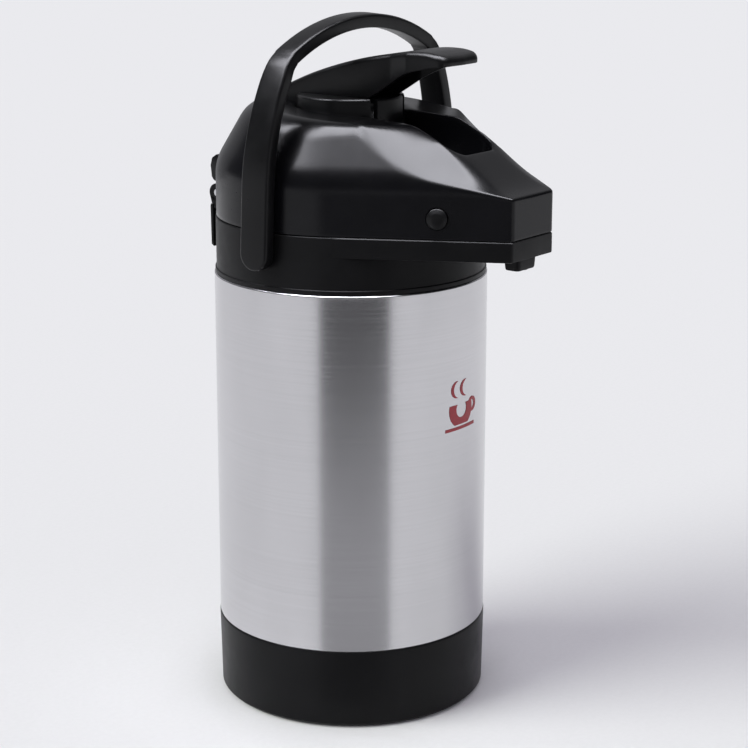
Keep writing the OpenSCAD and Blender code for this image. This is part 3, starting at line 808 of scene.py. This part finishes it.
# Height over the lever's pin of its top and of its lower edge, from the back to the tip
LEVER_TOP = [(LEVER_BACK, -1), (-50.6, 4.4), (-47, 8.4), (-36, 12.9), (-18, 20.2), (0.6, 26.2),
             (19.5, 31), (38, 34.4), (54, 36.8), (66, 37), (73, 36), (77, 34.9), (LEVER_TIP, 34)]
LEVER_LOW = [(LEVER_BACK, -4.6), (-45, -6.6), (-20, -4), (-4, -3.6), (4, -3), (8, -1.2), (30, 12),
             (49.6, 23.4), (62.5, 27), (72, 29), (LEVER_TIP, 29.6)]


def build_plunger():
    low, high = box_mm("plunger")
    r, z0, z1 = PLUNGER_R, low.z, high.z
    skirt = r - 2.6
    web = FLOOR_Z - 6.6
    outline = fillet([(skirt, z0), (r, z0, 0.4), (r, z1, 1.8), (0, z1), (0, z1 - 3),
                      (skirt, z1 - 3), (skirt, web), (0, web), (0, web - 2.4),
                      (skirt, web - 2.4)])
    body = make_object("Plunger", *lathe(outline, 128), "plunger", ["plunger"], "black_lever")
    half = LEVER_HALF - 3.1
    add_to(body, *prism_x([(-10, web - 0.4), (10, web - 0.4), (10, z1 - 2), (-10, z1 - 2)],
                          -half, half, 0.3))
    slot = [(-40, FLOOR_Z + 14), (40, FLOOR_Z + 14), (40, z1 + 5), (-40, z1 + 5)]
    for side in (-1, 1):
        x = side * (LEVER_HALF - 1.2)
        carve(body, *prism_x(slot, x - 1.9, x + 1.9, 0.05, 1))


def lever_height(keys, u):
    """Height of the lever's top or lower edge above the floor."""
    return LEVER.z + curve(keys, clamp(u, LEVER_BACK, LEVER_TIP))


def lever_plan():
    """Half of the lever's outline from its back end to its tip, as (x, u) points."""
    corners = [(0, LEVER_BACK), (LEVER_HALF, LEVER_BACK, 2), (LEVER_HALF, 40, 9),
               (PADDLE_HALF, 53, 9), (PADDLE_HALF, LEVER_TIP - 1.4, 7), (0, LEVER_TIP)]
    rough = fillet(corners, closed=False, steps=10)
    out = [rough[0]]
    for a, b in zip(rough, rough[1:]):
        count = max(1, math.ceil((b - a).length / 2.2))
        out += [a.lerp(b, t) for t in spaced(0, 1, count)]
    return out


def lever_ring(p, outward):
    """The lever's section through the outline point p: half of it down to the middle line, its
    mirror image, and the same two on the underside."""
    def inset(distance):
        x, u = p - outward * distance
        return max(x, 0), u

    low = lever_height(LEVER_LOW, p.y)
    depth = lever_height(LEVER_TOP, p.y) - low
    roll = min(LEVER_ROLL, depth * 0.6)
    side = []
    for distance, up in ((LEVER_LIP, 0), (LEVER_LIP * 0.3, LEVER_LIP * 0.3),
                         (0, min(LEVER_LIP, depth * 0.2))):
        x, u = inset(distance)
        side.append((x, -u, low + up))
    for k in range(7):
        a = k * math.pi / 12
        x, u = inset(roll * (1 - math.cos(a)))
        side.append((x, -u, lever_height(LEVER_TOP, u) - roll * (1 - math.sin(a))))
    sheet = LEVER_SHEET
    roof = max(lever_height(LEVER_TOP, inset(sheet)[1]) - sheet, low + 0.1)
    inner = []
    for distance, z in ((sheet, low), (sheet, low + 0.5),
                        (sheet, roof - min(1.5, (roof - low) / 2)),
                        (sheet + 0.45, roof - min(0.45, (roof - low) / 4)), (sheet + 1.5, roof)):
        x, u = inset(distance)
        inner.append((x, -u, z))
    halves = []
    for half in (side, inner):
        x, y, z = half[-1]
        half += [(x * 2 / 3, y, z), (x / 3, y, z)]
        mirror = [(-hx, hy, hz) for hx, hy, hz in half]
        halves.append((half, (0, y, z), mirror))
    (right, ridge, left), (right_in, ceiling, left_in) = halves
    return right + [ridge] + left[::-1] + left_in + [ceiling] + right_in[::-1]


def build_lever():
    plan = lever_plan()
    rings = []
    for i, p in enumerate(plan):
        a, b = plan[max(0, i - 1)], plan[min(len(plan) - 1, i + 1)]
        along = (b - a).normalized()
        outward = Vector((along.y, -along.x))
        if i in (0, len(plan) - 1):
            outward = Vector((0, -1 if i == 0 else 1))
        rings.append(lever_ring(p, outward))
    make_object("Lever", *skin(rings, caps=False), "lever", ["lever"], "black_lever", sharp=42)


# ---- handle ----------------------------------------------------------------------------

HANDLE_TOP = PIVOT.z + 127
HANDLE_HALF = box_mm("handle")[1].x
HANDLE_W = 18.7
HANDLE_T = 8.0
HANDLE_BEVEL = 1.7
HANDLE_LEAN = math.radians(2.5)
# How much narrower each side of the handle is, by height under the crown
HANDLE_TAPER = [(-80, 0), (-30, 1), (-18, 2.3), (0, 2.6)]
ARM = 36  # straight part over the pivot
END_STEPS = 24


def handle_side(inset):
    """One arm of the handle from pivot to crown, as (x, z) points."""
    x = HANDLE_HALF
    arcs = [((x - 141, PIVOT.z + ARM), 141 - inset, 0, 28, 16),
            ((x - 34.1, HANDLE_TOP - 34.4), 20 - inset, 34, 56, 8),
            ((0, HANDLE_TOP - 135), 135 - inset, 61.5, 90, 16)]
    out = [(x - inset, lerp(PIVOT.z, PIVOT.z + ARM, i / 4)) for i in range(4)]
    for (cx, cz), r, a0, a1, n in arcs:
        for i in range(n + 1):
            a = math.radians(lerp(a0, a1, i / n))
            out.append((cx + r * math.cos(a), cz + r * math.sin(a)))
    return out


def handle_ring(outer, inner):
    """The handle's section between a point on its outside and one on its inside. The first
    half of the ring is the rear side with the middle points, and the rest the front side."""
    o, n = Vector((outer[0], 0, outer[1])), Vector((inner[0], 0, inner[1]))
    lean = (n - o).normalized()
    half = HANDLE_W / 2 - through(HANDLE_TAPER, clamp(o.z - HANDLE_TOP, -80, 0))
    corner = [(HANDLE_BEVEL * (1 - math.cos(a)), HANDLE_BEVEL * (1 - math.sin(a)))
              for a in (k * math.pi / 8 for k in range(5))]
    side = [(o + lean * into, half - back) for back, into in corner[::-1]]
    side += [(n - lean * into, half - back) for back, into in corner]
    rear = [p + Vector((0, w, 0)) for p, w in side]
    front = [p - Vector((0, w, 0)) for p, w in side[::-1]]
    return [o] + rear + [n] + front


def rounded_end(ring):
    """Half a turn of the handle's section about the pivot."""
    profile = ring[:len(ring) // 2 + 1]
    fan = []
    for k in range(END_STEPS + 1):
        turn = turn_about(PIVOT, -k * math.pi / END_STEPS, "X")
        fan.append([turn @ p for p in profile])
    n = len(profile)
    faces = [(k * n + i, k * n + i + 1, (k + 1) * n + i + 1, (k + 1) * n + i)
             for k in range(END_STEPS) for i in range(n - 1)]
    return [p for row in fan for p in row], faces


def build_handle():
    outer, inner = handle_side(0), handle_side(HANDLE_T)
    outer += [(-x, z) for x, z in outer[-2::-1]]
    inner += [(-x, z) for x, z in inner[-2::-1]]
    rings = [handle_ring(o, n) for o, n in zip(outer, inner)]
    shape = joined(skin(rings, caps=False), rounded_end(rings[0]), rounded_end(rings[-1]))
    make_object("Handle", *moved(shape, turn_about(PIVOT, HANDLE_LEAN, "X")), "handle",
                ["handle"], "black_lever", sharp=50)


# ---- floor, light and camera -----------------------------------------------------------

FLOOR_TONE = 0.80
FLOOR_HALF = 40.0  # metres, so that the floor has no edge in any view
CAMERA_TURN = math.radians(37.99)
CAMERA_TILT = math.radians(13.63)
CAMERA_YAW = math.radians(0.66)
CEILING, CEILING_LEFT, CEILING_RIGHT = 1.5, -1.3, 0.9
BACKDROP, BACKDROP_HALF, BACKDROP_TOP = -1.6, 2, 2.6
# What the steel mirrors of the floor: brightness by distance towards the camera
DARK_FLOOR = [(0, 0.38), (0.3, 0.39), (0.4, 0.375), (0.63, 0.29), (0.9, 0.125), (1.4, 0.09),
              (3, 0.08)]
STRIPS = 14
STRIP_Z = 0.004


def plane(name, corners, material):
    """A flat sheet through four corners in metres."""
    mesh = bpy.data.meshes.new(name)
    mesh.from_pydata(corners, [], [(0, 1, 2, 3)])
    mesh.materials.append(material)
    return placed(name, mesh)


def build_stage():
    n = Nodes("floor_paper")
    fibre = n.noise(n.scaled(1, 1, 1), 300, 4, 0.6)
    n.set(Base_Color=n.mottled(fibre, (FLOOR_TONE,) * 3, 1 - 0.0125, 1 + 0.0125),
          Roughness=0.9, Specular_IOR_Level=0.0)
    half = FLOOR_HALF
    flat = [(-half, -half, 0), (half, -half, 0), (half, half, 0), (-half, half, 0)]
    plane("Floor", flat, n.material)


def seen(right, back, height):
    """A place in metres as the camera sees it: right, towards the camera, and up."""
    c, s = math.cos(CAMERA_TURN), math.sin(CAMERA_TURN)
    forward = Vector((c, s, 0))
    across = Vector((s, -c, 0))
    return across * right - forward * back + Vector((0, 0, height))


def card(name, tone, corners):
    """A flat studio card of one brightness outside the picture, seen in reflections only. Its
    corners are given as the camera sees them."""
    material = bpy.data.materials.new(name)
    material.use_nodes = True
    tree = material.node_tree
    tree.nodes.clear()
    glow = tree.nodes.new("ShaderNodeEmission")
    glow.inputs["Color"].default_value = (*tone, 1)
    out = tree.nodes.new("ShaderNodeOutputMaterial")
    tree.links.new(glow.outputs["Emission"], out.inputs["Surface"])
    sheet = plane(name, [seen(*c) for c in corners], material)
    sheet.visible_camera = False
    sheet.visible_diffuse = False
    sheet.visible_shadow = False
    sheet.visible_transmission = False


def build_world():
    """White studio all round: as the floor is lit, as the camera sees it, as gloss sees it."""
    world = bpy.data.worlds.new("Studio")
    bpy.context.scene.world = world
    world.use_nodes = True
    tree = world.node_tree
    tree.nodes.clear()
    path = tree.nodes.new("ShaderNodeLightPath")

    def backdrop(colour, strength):
        node = tree.nodes.new("ShaderNodeBackground")
        node.inputs["Color"].default_value = (*colour, 1)
        node.inputs["Strength"].default_value = strength
        return node.outputs["Background"]

    def choose(ray, otherwise, when):
        mix = tree.nodes.new("ShaderNodeMixShader")
        tree.links.new(path.outputs[ray], mix.inputs["Fac"])
        tree.links.new(otherwise, mix.inputs[1])
        tree.links.new(when, mix.inputs[2])
        return mix.outputs["Shader"]

    lit = choose("Is Camera Ray", backdrop((0.925, 0.9, 1.0), 0.62),
                 backdrop((0.975, 0.98, 1.0), 0.84))
    lit = choose("Is Glossy Ray", lit, backdrop((0.9, 0.94, 1.0), 0.06))
    out = tree.nodes.new("ShaderNodeOutputWorld")
    tree.links.new(lit, out.inputs["Surface"])


def dark_floor():
    """A wedge of strips on the floor, from the pot towards the camera, for the steel to mirror."""
    def ends(distance):
        return 0.02 - 0.5 * distance, 0.637 * distance - 0.027

    distances = [lerp(0.1, 3.0, (k / STRIPS) ** 2) for k in range(STRIPS + 1)]
    for i, (near, far) in enumerate(zip(distances, distances[1:])):
        tone = through(DARK_FLOOR, (near + far) / 2)
        (left, right), (far_left, far_right) = ends(near), ends(far)
        card("Dark_floor_%d" % (i + 1), (tone, tone, tone * 1.05),
             [(left, near, STRIP_Z), (right, near, STRIP_Z),
              (far_right, far, STRIP_Z), (far_left, far, STRIP_Z)])


def overhead(name, tone, near, far):
    """A card over the pot, between two distances towards the camera."""
    corners = [(CEILING_LEFT, near), (CEILING_RIGHT, near), (CEILING_RIGHT, far),
               (CEILING_LEFT, far)]
    card(name, tone, [(*c, CEILING) for c in corners])


def build_lights():
    sun = bpy.data.lights.new("Key", "SUN")
    sun.energy = 2.8
    sun.color = (0.965, 1.0, 0.95)
    sun.angle = math.radians(44)
    key = placed("Key", sun)
    key.rotation_euler = (-seen(-0.9, 0.35, 0.6)).to_track_quat("-Z", "Y").to_euler()
    key.visible_glossy = False
    dark_floor()
    overhead("Overhead", (20, 20, 21.5), 0.7, -0.2)
    overhead("Overhead_front", (4, 4, 4.3), 1.05, 0.7)
    card("Backdrop", (0.36, 0.36, 0.38),
         [(x, BACKDROP, z) for x, z in ((-BACKDROP_HALF, 0), (BACKDROP_HALF, 0),
                                        (BACKDROP_HALF, BACKDROP_TOP),
                                        (-BACKDROP_HALF, BACKDROP_TOP))])


def build_camera():
    bpy.context.scene.view_settings.view_transform = "Standard"
    camera = bpy.data.cameras.new("Camera")
    camera.sensor_width = 36
    camera.lens = 97.8
    camera.shift_y = -0.05
    eye = placed("Camera", camera)
    bpy.context.scene.camera = eye
    eye.location = seen(0, 1.171, 0.4985)
    heading = CAMERA_TURN - math.pi / 2 - CAMERA_YAW
    eye.rotation_euler = (math.pi / 2 - CAMERA_TILT, 0, heading)


dress_frame()
build_base()
build_shell()
build_collar()
build_nozzle()
build_bracket()
build_lid()
build_buttons()
build_plunger()
build_lever()
build_handle()
build_stage()
build_world()
build_lights()
build_camera()
